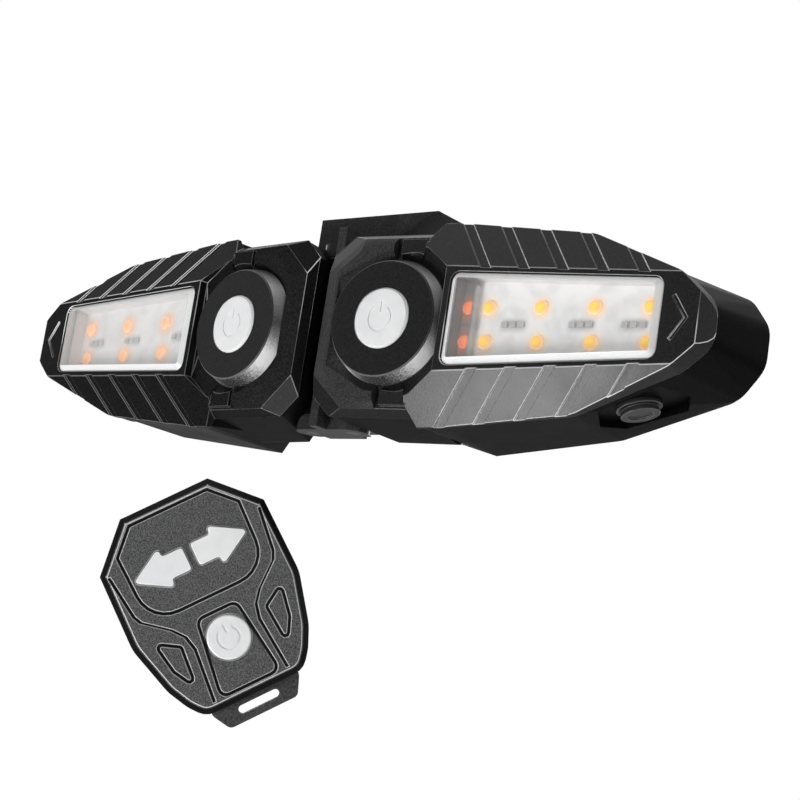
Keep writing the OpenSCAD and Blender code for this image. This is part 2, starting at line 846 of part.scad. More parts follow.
// Saddle that the seat post lies in, with a slot for the strap
module post_saddle() {
    groove_r = post_r + pad_t + seat_gap;
    arm_y = post_y - groove_r * cos(arm_angle);
    arm_x = groove_r * sin(arm_angle) + 2.4;
    color(shell_colour) on_bracket() difference() {
        translate([0, 0, -saddle_half_h]) linear_extrude(2 * saddle_half_h) polygon(both_sides([
            [arm_x, arm_y], [arm_x, arm_y - 3], [body_half_w + 7, body_back_y + 7.8],
            [body_half_w + 1, body_back_y + 1], [body_half_w, body_back_y]
        ]));
        translate([0, post_y, -through / 2]) cylinder(h = through, r = groove_r);
        block([-through / 2, slot_y, -strap_slot_h / 2],
              [through / 2, slot_y + strap_slot_t, strap_slot_h / 2]);
        for (m = [-1, 1]) {
            bar_y(0, m * saddle_screw_z, screw_r + slide_gap, body_back_y - cut, post_y);
            bar_y(0, m * saddle_screw_z, screw_head_r + slide_gap, saddle_seat_y, post_y);
        }
    }
}

// Rubber pad between the saddle and the post
module saddle_pad() {
    half_h = saddle_half_h - 1;
    pad_angle = arm_angle - 2;
    color(rubber_colour) rotate([0, 0, -90 - pad_angle]) rotate_extrude(angle = 2 * pad_angle)
        translate([post_r, -half_h]) square([pad_t, 2 * half_h]);
}

// Screws that hold the saddle to the bracket, sunk under the pad
module saddle_screws() {
    color(metal_colour) on_bracket() for (m = [-1, 1]) {
        z = m * saddle_screw_z;
        bar_y(0, z, screw_r, body_y + cut + 0.3, saddle_seat_y + skin);
        difference() {
            bar_y(0, z, screw_head_r, saddle_seat_y, saddle_seat_y + screw_head_t);
            cross_slot(0, z, saddle_seat_y + screw_head_t);
        }
    }
}

// Outer form of one half of the remote, with a chamfer at its face
module remote_form(face_y, edge_y, part_y, d) {
    hull() {
        plate(face_y, face_y + skin, inset(remote_outline, remote_chamfer + d));
        plate(min(edge_y, part_y), max(edge_y, part_y), inset(remote_outline, d));
    }
}

// A line of the given width cut round an outline
module remote_line(outline) {
    difference() {
        plate(-cut, line_d, inset(outline, -line_w / 2));
        plate(-2 * cut, line_d + cut, inset(outline, line_w / 2));
    }
}

// Columns for the screws of the remote
module remote_bosses(y0, y1) {
    for (p = remote_screw_places, m = [-1, 1]) bar_y(m * p[0], p[1], remote_boss_r, y0, y1);
}

// Front half of the remote, with the holes for its keys and the lines on its face
module remote_front_case() {
    color(trim_colour) on_remote() difference() {
        remote_form(0, remote_chamfer, remote_part_y, 0);
        difference() {
            remote_form(remote_wall, remote_wall + 1, remote_part_y + cut, remote_wall);
            remote_bosses(0, remote_part_y);
        }
        for (m = [0, 1]) mirror([m, 0, 0]) {
            plate(-cut, 4, inset(arrow, -slide_gap));
            remote_line(corner_pad);
            plate(-cut, line_d, side_line);
        }
        bar_y(0, remote_power_z, remote_power_r + slide_gap, -cut, 4);
        remote_line(arrow_island);
        remote_line(power_island);
        for (p = remote_screw_places, m = [-1, 1])
            bar_y(m * p[0], p[1], remote_screw_r + seat_gap, 2.4, remote_part_y + cut);
    }
}

// Back half of the remote, with the loop for a lanyard
module remote_back_case() {
    roof_y = remote_t - remote_wall;
    seat_y = remote_t - remote_head_sunk;
    color(shell_colour) on_remote() difference() {
        union() {
            remote_form(remote_t - skin, remote_t - remote_chamfer, remote_part_y, 0);
            plate(remote_part_y, remote_part_y + 3.4, lanyard_tab);
        }
        difference() {
            remote_form(roof_y - skin, roof_y - 1, remote_part_y - cut, remote_wall);
            remote_bosses(remote_part_y, remote_t);
        }
        plate(0, remote_t, lanyard_slot);
        for (p = remote_screw_places, m = [-1, 1]) {
            bar_y(m * p[0], p[1], remote_screw_r + slide_gap, remote_part_y - cut, remote_t + cut);
            bar_y(m * p[0], p[1], remote_head_r + slide_gap, seat_y, remote_t + cut);
        }
    }
}

// Turn key of the remote, pointing right, with the flange that keeps it in
module turn_key() {
    color(button_colour) {
        plate(-key_proud, key_flange_y, arrow);
        plate(key_flange_y, key_flange_y + key_flange_t, inset(arrow_plain, -0.6));
        bar_y(arrow_at[0], arrow_at[1], 1.4, key_flange_y, key_stem_y);
    }
}

// Turn key on the left of the remote
module remote_left_key() {
    on_remote() mirror([1, 0, 0]) turn_key();
}

// Turn key on the right of the remote
module remote_right_key() {
    on_remote() turn_key();
}

// Power key of the remote
module remote_power_key() {
    mark_d = 0.15;
    color(button_colour) on_remote() translate([0, 0, remote_power_z]) rotate([90, 0, 0]) difference() {
        rotate_extrude() polygon([
            [0, key_proud], [remote_power_r - 0.3, key_proud], [remote_power_r, key_proud - 0.3],
            [remote_power_r, -key_flange_y], [remote_power_r + 0.7, -key_flange_y],
            [remote_power_r + 0.7, -key_flange_y - key_flange_t], [1.4, -key_flange_y - key_flange_t],
            [1.4, -key_stem_y], [0, -key_stem_y]
        ]);
        translate([0, 0, key_proud - mark_d]) power_mark(0.5 * remote_power_r, mark_d);
    }
}

// Circuit board of the remote
module remote_board() {
    color(circuit_colour) on_remote()
        block([-9.5, remote_board_y, -15], [9.5, remote_board_y + remote_board_t, 18]);
}

// Three push switches on the remote's board
module remote_switches() {
    half = 2.2;
    body_y = key_switch_y + 0.4;
    color(metal_colour) on_remote()
        for (p = [arrow_at, [-arrow_at[0], arrow_at[1]], [0, remote_power_z]]) {
            block([p[0] - half, body_y, p[1] - half], [p[0] + half, remote_board_y, p[1] + half]);
            bar_y(p[0], p[1], half / 2, key_switch_y, body_y);
        }
}

// Coin cell of the remote
module remote_coin_cell() {
    seat_y = remote_board_y + remote_board_t + 0.1;
    color(metal_colour) on_remote() bar_y(0, coin_z, coin_r, seat_y, seat_y + coin_t);
}

// Half-round spring clip that holds the coin cell
module remote_cell_clip() {
    color(metal_colour) on_remote() translate([0, remote_board_y + remote_board_t, coin_z])
        rotate([-90, 0, 0]) rotate_extrude(angle = 180)
            translate([coin_r + 0.1, 0]) square([0.6, coin_t - 0.4]);
}

// Screws that close the remote from behind
module remote_screws() {
    seat = remote_t - remote_head_sunk;
    color(metal_colour) on_remote() for (p = remote_screw_places, m = [-1, 1]) {
        bar_y(m * p[0], p[1], remote_screw_r, 2.6, seat + skin);
        difference() {
            bar_y(m * p[0], p[1], remote_head_r, seat, seat + 1.3);
            cross_slot(m * p[0], p[1], seat + 1.3);
        }
    }
}

on_wing(left) front_shell();  // left_front_shell
on_wing(left) hinge_frame();  // left_hinge_frame
on_wing(left) rear_shell();  // left_rear_shell
on_wing(left) shell_seal();  // left_shell_seal
on_wing(left) lens();  // left_lens
on_wing(left) lamp_tray();  // left_lamp_tray
on_wing(left) lamp_board();  // left_lamp_board
on_wing(left) amber_leds(left);  // left_amber_leds
on_wing(left) red_leds();  // left_red_leds
on_wing(left) lamp_chips(left);  // left_lamp_chips
on_wing(left) button_bezel();  // left_button_bezel
on_wing(left) power_button();  // left_power_button
on_wing(left) button_switch();  // left_button_switch
on_wing(left) control_board();  // left_control_board
on_wing(left) battery();  // left_battery
on_wing(left) usb_socket();  // left_usb_socket
on_wing(left) port_plug();  // left_port_plug
on_wing(left) shell_screws();  // left_shell_screws
hinge_pin(left);  // left_hinge_pin
hinge_washers(left);  // left_hinge_washers
on_wing(right) front_shell();  // right_front_shell
on_wing(right) hinge_frame();  // right_hinge_frame
on_wing(right) rear_shell();  // right_rear_shell
on_wing(right) shell_seal();  // right_shell_seal
on_wing(right) lens();  // right_lens
on_wing(right) lamp_tray();  // right_lamp_tray
on_wing(right) lamp_board();  // right_lamp_board
on_wing(right) amber_leds(right);  // right_amber_leds
on_wing(right) red_leds();  // right_red_leds
on_wing(right) lamp_chips(right);  // right_lamp_chips
on_wing(right) button_bezel();  // right_button_bezel
on_wing(right) power_button();  // right_power_button
on_wing(right) button_switch();  // right_button_switch
on_wing(right) control_board();  // right_control_board
on_wing(right) battery();  // right_battery
on_wing(right) usb_socket();  // right_usb_socket
on_wing(right) port_plug();  // right_port_plug
on_wing(right) shell_screws();  // right_shell_screws
hinge_pin(right);  // right_hinge_pin
hinge_washers(right);  // right_hinge_washers
centre_bracket();
post_saddle();
saddle_pad();
saddle_screws();
remote_front_case();
remote_back_case();
remote_left_key();
remote_right_key();
remote_power_key();
remote_board();
remote_switches();
remote_coin_cell();
remote_cell_clip();
remote_screws();
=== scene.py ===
"""Looks of a folding bicycle turn signal light with two hinged wings and its hand-held remote.

Everything is in metres in the CAD frame: X to the right, Y to the back, Z up, with the origin on
the seat post's axis at mid height of the light, so that the lenses face -Y.
"""

import math

import bmesh
import bpy
from mathutils import Matrix, Vector


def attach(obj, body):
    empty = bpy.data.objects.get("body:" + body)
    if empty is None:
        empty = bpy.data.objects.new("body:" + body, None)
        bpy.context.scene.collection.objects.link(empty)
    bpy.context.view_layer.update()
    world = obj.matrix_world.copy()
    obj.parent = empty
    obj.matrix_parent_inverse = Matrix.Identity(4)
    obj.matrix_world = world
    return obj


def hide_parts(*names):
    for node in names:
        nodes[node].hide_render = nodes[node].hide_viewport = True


MM = 0.001
SIDES = {"left": -1, "right": 1}

# Wings: the front plane's distance from the post axis, the hinge pins and the sweep at rest
POST_Y = 52.0 * MM
PIN = Vector((5.7 * MM, 16.0 * MM, 0))
REST_SWEEP = math.radians(6)

# Lamps on a wing's board, in the wing's own frame: columns of amber lamps, and the red pair
BOARD_Y = 5.6 * MM
LAMP_ROW_Z = 3.6 * MM
LAMP_DEPTH = 0.9 * MM
LAMP_RINGS = 7
LAMP_POINTS = 28
AMBER_R = 1.6 * MM
COLUMNS = {"left": 3, "right": 4}
FIRST_X = {"left": 50.15 * MM, "right": 41.35 * MM}
PITCH = {"left": 14.3 * MM, "right": 12.0 * MM}
RED_R = 1.4 * MM
RED_X = 36.45 * MM

# Painted glow of light on the board round each lamp, from a share of a lamp's radius out to
# another, and the amber ones' falloff
HALO_START = 0.9
AMBER_REACH = {"left": 2.4, "right": 2.1}
AMBER_FALL = {"left": 1.0, "right": 1.6}
RED_REACH = 2.6

# Wall of the red lamps' compartment, the soft edge of its shade and how ragged that is
DIVIDER_X = 38.4 * MM
DIVIDER_EDGE = (-0.3 * MM, 1.4 * MM)
DIVIDER_RAGGED = 2.0 * MM

# Chips on the board, with the half width and half height over which their grey blurs out
CHIPS_X = {
    "left": (44.25 * MM, 61.85 * MM, 75.65 * MM),
    "right": (47.45 * MM, 62.75 * MM, 74.25 * MM),
}
CHIP_BLUR_X = (1.9 * MM, 3.6 * MM)
CHIP_BLUR_Z = (0.5 * MM, 1.8 * MM)

# Front shell, in the wing's own frame: where its bright edges, which are painted highlights, end by
# the hinge and start by the lens, and where their greys blend at mid height and between hinge and
# tip side
HINGE_HIGHLIGHT_X = (2.0 * MM, 3.4 * MM)
LENS_HIGHLIGHT_X = (31.5 * MM, 35.0 * MM)
MID_BLEND_Z = (-2.0 * MM, 2.0 * MM)
LEAN_BLEND = (-0.2, 0.2)

# Remote: the middle of its face, the direction from its face to its back, and the depth of the
# face's painted sheen
REMOTE_AT = Vector((-5.5, -58.1, -62.4)) * MM
REMOTE_BACK = Vector((-0.6924, 0.7170, 0.0802))
REMOTE_PAINTED_SHEEN = (0.2 * MM, 0.4 * MM)

# Depth of a moulding's spark-eroded grain, and of the finer marks on polished and clear pieces
GRAIN = 0.04 * MM
FINE_GRAIN = 0.01 * MM
SOFT_GRAIN = 0.02 * MM
RUBBER_GRAIN = 0.03 * MM

# How much rougher a moulding's deep walls are than its front
WALL_ROUGHER = 0.35

# Camera, from the photograph's perspective
CAMERA_AT = Vector((0.2782, -0.3533, -0.09525))
CAMERA_RIGHT = Vector((0.7821, 0.6054, 0.1477))
CAMERA_UP = Vector((0.0059, -0.2441, 0.9697))
FOCAL_LENGTH = 89.18
SENSOR = 36.0
CLIP = (0.01, 50)

FLOOR_Z = -0.32
FLOOR_HALF = 4.0
WORLD_LIGHT = 0.15

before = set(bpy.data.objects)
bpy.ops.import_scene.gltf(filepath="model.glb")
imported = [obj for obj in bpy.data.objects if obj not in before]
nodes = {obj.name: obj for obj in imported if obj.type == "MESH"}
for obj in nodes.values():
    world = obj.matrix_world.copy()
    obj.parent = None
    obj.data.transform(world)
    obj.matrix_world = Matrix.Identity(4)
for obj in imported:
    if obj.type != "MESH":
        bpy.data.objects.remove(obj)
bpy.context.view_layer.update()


# Directions and places on a wing

def front_of(side):
    """Direction that a wing's lens faces at rest."""
    return Vector((side * math.sin(REST_SWEEP), -math.cos(REST_SWEEP), 0))


def tip_of(side):
    """Direction from a wing's hinge to its tip at rest."""
    return Vector((side * math.cos(REST_SWEEP), math.sin(REST_SWEEP), 0))


def wing_matrix(side):
    """From a wing's own frame (x outward, y back, z up) to the CAD frame, at rest."""
    swing = Matrix.Rotation(REST_SWEEP, 4, "Z")
    to_pin = Matrix.Translation(PIN - Vector((0, POST_Y, 0)))
    flip = Matrix.Scale(-1, 4, Vector((1, 0, 0))) if side < 0 else Matrix.Identity(4)
    return flip @ to_pin @ swing @ Matrix.Translation(-PIN)


# Node trees

class Tree:
    """Adds nodes to a material's or the world's node tree and links them."""

    def __init__(self, owner):
        owner.use_nodes = True
        self.owner = owner
        self.tree = owner.node_tree
        self.tree.nodes.clear()

    def add(self, kind, settings=None, **inputs):
        """A node whose inputs, named with _ for a space, are values or other nodes' sockets.

        An input without a name of its own is i0, i1 and so on, by its place in the node.
        """
        made = self.tree.nodes.new(kind)
        for name, value in (settings or {}).items():
            setattr(made, name, value)
        for name, value in inputs.items():
            self.put(made, name.replace("_", " "), value)
        return made

    def put(self, made, name, value):
        socket = made.inputs[int(name[1:]) if name[0] == "i" and name[1:].isdigit() else name]
        if isinstance(value, bpy.types.NodeSocket):
            self.tree.links.new(value, socket)
        else:
            socket.default_value = value

    def math(self, operation, a, b=0.0):
        return self.add("ShaderNodeMath", {"operation": operation}, i0=a, i1=b).outputs[0]

    def distance(self, a, b):
        """Length of the diagonal of a and b."""
        squares = self.math("ADD", self.math("MULTIPLY", a, a), self.math("MULTIPLY", b, b))
        return self.math("SQRT", squares)

    def jitter(self, value, noise, amount):
        """A value that noise moves up and down by half the amount."""
        move = self.math("MULTIPLY", self.math("SUBTRACT", noise, 0.5), amount)
        return self.math("ADD", value, move)

    def span(self, value, low, high, to_low, to_high):
        """Maps value from low..high to to_low..to_high, held at both ends."""
        made = self.add("ShaderNodeMapRange", {"clamp": True}, i0=value, i1=low, i2=high, i3=to_low,
                        i4=to_high)
        return made.outputs[0]

    def dot(self, vector, direction):
        made = self.add("ShaderNodeVectorMath", {"operation": "DOT_PRODUCT"}, i0=vector,
                        i1=direction)
        return made.outputs["Value"]

    def ramp(self, factor, stops):
        """A colour ramp through (position, colour) stops."""
        made = self.add("ShaderNodeValToRGB", Fac=factor)
        elements = made.color_ramp.elements
        while len(elements) < len(stops):
            elements.new(0.5)
        for element, (position, colour) in zip(elements, stops):
            element.position = position
            element.color = (*colour, 1)
        return made.outputs["Color"]

    def mix(self, factor, first, second):
        """Colour first where factor is 0, and second where it is 1."""
        made = self.add("ShaderNodeMix", {"data_type": "RGBA"}, i0=factor, i6=first, i7=second)
        return made.outputs[2]

    def noise(self, scale, detail=2.0):
        made = self.add("ShaderNodeTexNoise", Vector=self.place(), Scale=scale, Detail=detail)
        return made.outputs[0]

    def place(self):
        """A point's place in the CAD frame, which goes with the piece when it moves."""
        return self.add("ShaderNodeTexCoord").outputs["Object"]

    def normal(self):
        """The surface's direction in the CAD frame, which goes with the piece when it moves."""
        return self.add("ShaderNodeTexCoord").outputs["Normal"]

    def on_wing(self, side):
        """A point's x, y and z in a wing's own frame: x outward, y back and z up."""
        turn = Matrix.Rotation(-REST_SWEEP, 4, "Z")
        shift = PIN - turn @ (PIN - Vector((0, POST_Y, 0)))
        mapped = self.add("ShaderNodeMapping", Vector=self.place(), Location=shift,
                          Rotation=(0, 0, -REST_SWEEP), Scale=(side, 1, 1))
        return self.add("ShaderNodeSeparateXYZ", Vector=mapped.outputs[0]).outputs

    def bump(self, height, strength, distance):
        made = self.add("ShaderNodeBump", Height=height, Strength=strength, Distance=distance)
        return made.outputs["Normal"]

    def finish(self, constants=None, **inputs):
        """Ends a material with its shader, on whose sockets constants are set, and returns it."""
        shader = self.add("ShaderNodeBsdfPrincipled", **inputs)
        for name, value in (constants or {}).items():
            shader.inputs[name].default_value = value
        self.add("ShaderNodeOutputMaterial", Surface=shader.outputs[0])
        return self.owner


def new_material(name):
    return Tree(bpy.data.materials.new(name))


def grey(value):
    return (value, value, value)


def opaque(colour):
    return (*colour, 1)


def shade(colour, share):
    return tuple(share * c for c in colour)


# Materials

def moulded(name, dark, light, rough, grain, specular, front=None, wall=None, turn=(0.4, 0.75),
            painted_glint=None):
    """Moulded plastic with a fine spark-eroded grain: grain is the bump's depth in metres.

    Where a front direction is given, walls that face away from it are rougher, as deep walls of a
    mould are left unpolished, and have the colour wall if there is one, a painted light or shade by
    the way they face. How far a wall must turn away is the range turn of the cosine between the
    two.
    Stops of grey in painted_glint give a wall a painted highlight by the way it faces, from down at
    0 to up at 1.
    """
    t = new_material(name)
    cloud = t.noise(90.0, 3.0)
    spark = t.noise(2600.0, 3.0)
    fleck = t.noise(5200.0, 1.0)
    patches = t.math("ADD", cloud, t.math("MULTIPLY", fleck, 0.6))
    gloss = t.span(patches, 0.5, 1.1, rough - 0.05, rough + 0.05)
    colour = t.ramp(spark, [(0.3, dark), (0.75, light)])
    if front:
        away = t.span(t.dot(t.normal(), front), *turn, 1.0, 0.0)
        gloss = t.math("ADD", gloss, t.math("MULTIPLY", away, WALL_ROUGHER))
        # Painted light or shade: walls turned away take the colour wall
        if wall:
            facing_shade_colour = t.ramp(spark, [(0.3, shade(wall, 0.6)), (0.75, wall)])
            colour = t.mix(away, colour, facing_shade_colour)
        # Painted highlight on the walls, by the way they face
        if painted_glint:
            up = t.add("ShaderNodeSeparateXYZ", Vector=t.normal()).outputs[2]
            level = t.span(t.jitter(up, spark, 0.3), -1.0, 1.0, 0.0, 1.0)
            painted_glint_colour = t.ramp(level, [(at, grey(value)) for at, value in painted_glint])
            colour = t.mix(away, colour, painted_glint_colour)
    return t.finish(
        {"Specular IOR Level": specular},
        Base_Color=colour,
        Roughness=gloss,
        Normal=t.bump(spark, 0.5, grain),
    )


def shell_edge_highlight(name, side_name, dim, below, above, near_hinge):
    """Painted highlights on a front shell's rounded edges: greys below and above the lens, and dim
    round the button.

    Each pair of greys is for edges that lean to the hinge and edges that lean to the tip. How
    bright the edges next to the hinge are is near_hinge, from 0 to 1.
    """
    t = new_material(name)
    side = SIDES[side_name]
    x, _, z = t.on_wing(side)
    along_lens = t.span(x, *LENS_HIGHLIGHT_X, 0.0, 1.0)
    share = t.math("MAXIMUM", along_lens, t.span(x, *HINGE_HIGHLIGHT_X, near_hinge, 0.0))
    to_tip = t.span(t.dot(t.normal(), tip_of(side)), *LEAN_BLEND, 0.0, 1.0)
    low, high = (
        t.mix(to_tip, opaque(grey(hinge_side)), opaque(grey(tip_side)))
        for hinge_side, tip_side in (below, above)
    )
    bright = t.mix(t.span(z, *MID_BLEND_Z, 0.0, 1.0), low, high)
    return t.finish(
        {"Specular IOR Level": 0.3},
        Base_Color=t.mix(share, opaque(grey(dim)), bright),
        Roughness=t.span(t.noise(2600.0, 3.0), 0.3, 0.75, 0.23, 0.33),
    )


def remote_case(name, dark, light):
    """The remote's plastic: dark to light on the level of its face, a painted reflection of light,
    and black below that.
    """
    t = new_material(name)
    depth = t.math("SUBTRACT", t.dot(t.place(), REMOTE_BACK), REMOTE_AT.dot(REMOTE_BACK))
    top = t.span(depth, *REMOTE_PAINTED_SHEEN, 1.0, 0.0)
    spark = t.noise(4000.0)
    painted_sheen_colour = t.ramp(spark, [(0.36, dark), (0.66, light)])
    return t.finish(
        {"Specular IOR Level": 0.05},
        Base_Color=t.mix(top, (0.003, 0.003, 0.0031, 1), painted_sheen_colour),
        Roughness=t.span(t.noise(5200.0, 1.0), 0.3, 0.7, 0.29, 0.39),
        Normal=t.bump(spark, 0.5, GRAIN),
    )


def rubber(name):
    """Dull black rubber with a slight bloom."""
    t = new_material(name)
    bloom = t.noise(300.0, 4.0)
    return t.finish(
        {"Specular IOR Level": 0.3},
        Base_Color=t.ramp(bloom, [(0.3, grey(0.008)), (0.8, grey(0.02))]),
        Roughness=t.span(bloom, 0.3, 0.8, 0.45, 0.62),
        Normal=t.bump(t.noise(3500.0), 0.4, RUBBER_GRAIN),
    )


def silicone(name):
    """White translucent button material."""
    t = new_material(name)
    cloud = t.noise(220.0, 3.0)
    pore = t.noise(3000.0)
    return t.finish(
        {
            "Subsurface Weight": 0.25,
            "Subsurface Radius": (0.9, 0.9, 1.0),
            "Subsurface Scale": 1.0 * MM,
        },
        Base_Color=t.ramp(cloud, [(0.3, (0.74, 0.75, 0.76)), (0.7, grey(0.82))]),
        Roughness=t.span(pore, 0.3, 0.7, 0.36, 0.5),
        Normal=t.bump(pore, 0.3, SOFT_GRAIN),
    )


def hazy_lens(name, front, haze):
    """Frosted clear plastic: see-through on its flat face, and whiter on its bevelled rim."""
    t = new_material(name)
    flat = t.span(t.math("ABSOLUTE", t.dot(t.normal(), front)), 0.86, 0.97, 0.0, 1.0)
    frost = t.noise(2200.0)
    veil = t.span(frost, 0.3, 0.7, 0.93 * haze, 1.07 * haze)
    return t.finish(
        Base_Color=t.ramp(frost, [(0.3, (0.86, 0.87, 0.88)), (0.7, grey(0.92))]),
        Roughness=t.span(frost, 0.3, 0.7, 0.16, 0.26),
        Alpha=t.add("ShaderNodeMix", {"data_type": "FLOAT"}, i0=flat, i2=0.85, i3=veil).outputs[0],
        Normal=t.bump(frost, 0.15, FINE_GRAIN),
    )


def red_compartment(t, x, cloud):
    """1 in the red lamps' compartment at a wing's inner end and 0 outside it, with a soft edge."""
    start, end = (DIVIDER_X + offset for offset in DIVIDER_EDGE)
    return t.span(t.jitter(x, cloud, DIVIDER_RAGGED), start, end, 1.0, 0.0)


def white_tray(name, side_name, white, compartment):
    """White moulding round the lamps, darker in the red lamps' compartment."""
    t = new_material(name)
    cloud = t.noise(260.0, 4.0)
    inner = red_compartment(t, t.on_wing(SIDES[side_name])[0], cloud)
    ground = t.ramp(cloud, [(0.35, shade(white, 0.9)), (0.65, white)])
    return t.finish(
        Base_Color=t.mix(inner, ground, opaque(compartment)),
        Roughness=t.span(cloud, 0.3, 0.7, 0.35, 0.5),
        Normal=t.bump(t.noise(1500.0), 0.2, SOFT_GRAIN),
    )


def lamp_board(name, side_name, painted_halo, compartment, red_painted_halo, glow):
    """White lamp board with a painted glow of light round each lamp, and the red lamps'
    compartment.
    """
    t = new_material(name)
    x, _, z = t.on_wing(SIDES[side_name])
    height = t.math("ABSOLUTE", z)
    above = t.math("SUBTRACT", height, LAMP_ROW_Z)

    # Distance to the nearest amber lamp
    pitch = PITCH[side_name]
    column = t.math("DIVIDE", t.math("SUBTRACT", x, FIRST_X[side_name]), pitch)
    last = COLUMNS[side_name] - 1.0
    nearest = t.math("MAXIMUM", t.math("MINIMUM", t.math("ROUND", column), last), 0.0)
    across = t.math("MULTIPLY", t.math("SUBTRACT", column, nearest), pitch)
    reach = AMBER_REACH[side_name] * AMBER_R
    near = t.span(t.distance(across, above), HALO_START * AMBER_R, reach, 1.0, 0.0)
    lit = t.math("POWER", near, AMBER_FALL[side_name])

    # Grey round the chips
    middle = t.span(height, *CHIP_BLUR_Z, 1.0, 0.0)
    beside = 0.0
    for chip_x in CHIPS_X[side_name]:
        off = t.math("ABSOLUTE", t.math("SUBTRACT", x, chip_x))
        beside = t.math("MAXIMUM", t.span(off, *CHIP_BLUR_X, 1.0, 0.0), beside)
    smudge = t.math("MULTIPLY", t.math("MULTIPLY", middle, beside), 0.7)

    red_away = t.distance(t.math("SUBTRACT", x, RED_X), above)
    red_lit = t.span(red_away, HALO_START * RED_R, RED_REACH * RED_R, 1.0, 0.0)

    cloud = t.noise(260.0, 4.0)
    print_colour = t.ramp(cloud, [(0.33, (0.74, 0.74, 0.75)), (0.55, grey(0.87))])
    red_ground = t.mix(red_lit, opaque(compartment), opaque(red_painted_halo))
    ground = t.mix(red_compartment(t, x, cloud), print_colour, red_ground)
    colour = t.mix(lit, t.mix(smudge, ground, (0.30, 0.30, 0.305, 1)), opaque(painted_halo))
    # The board's glow is painted light from the lamps
    return t.finish(
        {"Emission Strength": glow},
        Base_Color=colour,
        Emission_Color=colour,
        Roughness=t.span(cloud, 0.3, 0.7, 0.4, 0.55),
        Normal=t.bump(t.noise(1500.0), 0.2, SOFT_GRAIN),
    )


def lamp_gel(name, core, edge, painted_halo, glow):
    """Coloured gel of a lamp, paler at its rim, which glows a little."""
    t = new_material(name)
    rim = t.add("ShaderNodeAttribute", {"attribute_name": "rim"}).outputs["Fac"]
    speck = t.noise(4000.0)
    colour = t.ramp(t.jitter(rim, speck, 0.15), [(0.3, core), (0.7, edge), (1.0, painted_halo)])
    return t.finish(
        {"Emission Strength": glow, "Specular IOR Level": 0.2},
        Base_Color=colour,
        Emission_Color=colour,
        Roughness=t.span(speck, 0.3, 0.7, 0.4, 0.55),
    )


def plain(name, dark, light, rough, metallic=0.0, scale=400.0):
    """A finish with slight colour and roughness variation, metal or not."""
    t = new_material(name)
    cloud = t.noise(scale, 3.0)
    return t.finish(
        {"Metallic": metallic},
        Base_Color=t.ramp(cloud, [(0.3, dark), (0.7, light)]),
        Roughness=t.span(cloud, 0.3, 0.7, rough - 0.06, rough + 0.06),
        Normal=t.bump(t.noise(8 * scale), 0.15, FINE_GRAIN),
    )


# Black plastics: front shells, button rings, rear shells painted darker on their flanks as shade
# with a paler back, and the rest
DEEP, SHEEN = (0.004, 0.004, 0.0042), (0.016, 0.016, 0.0165)
# Rear shells: flanks painted darker as shade; BACK is the paler back
SHADED_FLANK_DEEP, SHADED_FLANK_LIGHT = (0.0015, 0.0015, 0.0016), (0.005, 0.005, 0.0052)
BACK = (0.034, 0.034, 0.035)
BACK_TURN = (-0.8, -0.4)
SHINE = {"left": 0.02, "right": 0.12}
# Painted highlights on the button rings' walls: greys for walls facing down at 0 to facing up at 1
RING_PAINTED_GLINT = [
    (0.0, 0.012), (0.03, 0.05), (0.07, 0.25), (0.15, 0.9), (0.25, 1.0), (0.38, 0.3), (0.5, 0.1),
    (0.62, 0.3), (0.8, 0.7), (0.95, 0.12), (1.0, 0.02),
]
blacks, rings, shaded_rears = {}, {}, {}
for name, side in SIDES.items():
    front = front_of(side)
    blacks[name] = moulded(f"{name}_front_moulding", DEEP, SHEEN, 0.2, GRAIN, SHINE[name], front)
    rings[name] = moulded(f"{name}_bezel_moulding", DEEP, SHEEN, 0.34, GRAIN, 0.1, front,
                          painted_glint=RING_PAINTED_GLINT)
    shaded_rears[name] = moulded(f"{name}_rear_moulding", SHADED_FLANK_DEEP, SHADED_FLANK_LIGHT, 0.45, GRAIN, 0.02, front,
                          BACK, BACK_TURN)
black = moulded("black_moulding", DEEP, SHEEN, 0.4, GRAIN, 0.08)
trim = moulded("trim_moulding", (0.014, 0.014, 0.0143), (0.05, 0.05, 0.0505), 0.36, GRAIN, 0.08)
# Left hinge frame painted darker than the right one, as shade
left_trim_shaded = moulded("left_trim_shaded_moulding", (0.008, 0.008, 0.0083), (0.03, 0.03, 0.0305), 0.6, GRAIN, 0.0)
# Remote face: lighter grey, a painted reflection of light
remote = remote_case("remote_moulding", (0.035, 0.035, 0.036), (0.15, 0.15, 0.152))
# Remote back case: paler on faces toward the remote's front, a painted light, darker on its other
# walls
remote_back = moulded("remote_back_moulding", (0.02, 0.02, 0.0203), (0.085, 0.085, 0.086), 0.36,
                      GRAIN, 0.1, -REMOTE_BACK, SHEEN)

# Finishes of edges: painted highlight greys of a front shell's edges, below and above the lens,
# toward hinge and tip
EDGE_HIGHLIGHT_DIM = 0.05
EDGE_HIGHLIGHT_BELOW = {"left": (0.2, 0.08), "right": (0.03, 0.7)}
EDGE_HIGHLIGHT_ABOVE = {"left": (0.9, 0.1), "right": (0.45, 0.05)}
HIGHLIGHT_NEAR_HINGE = {"left": 1.0, "right": 0.2}
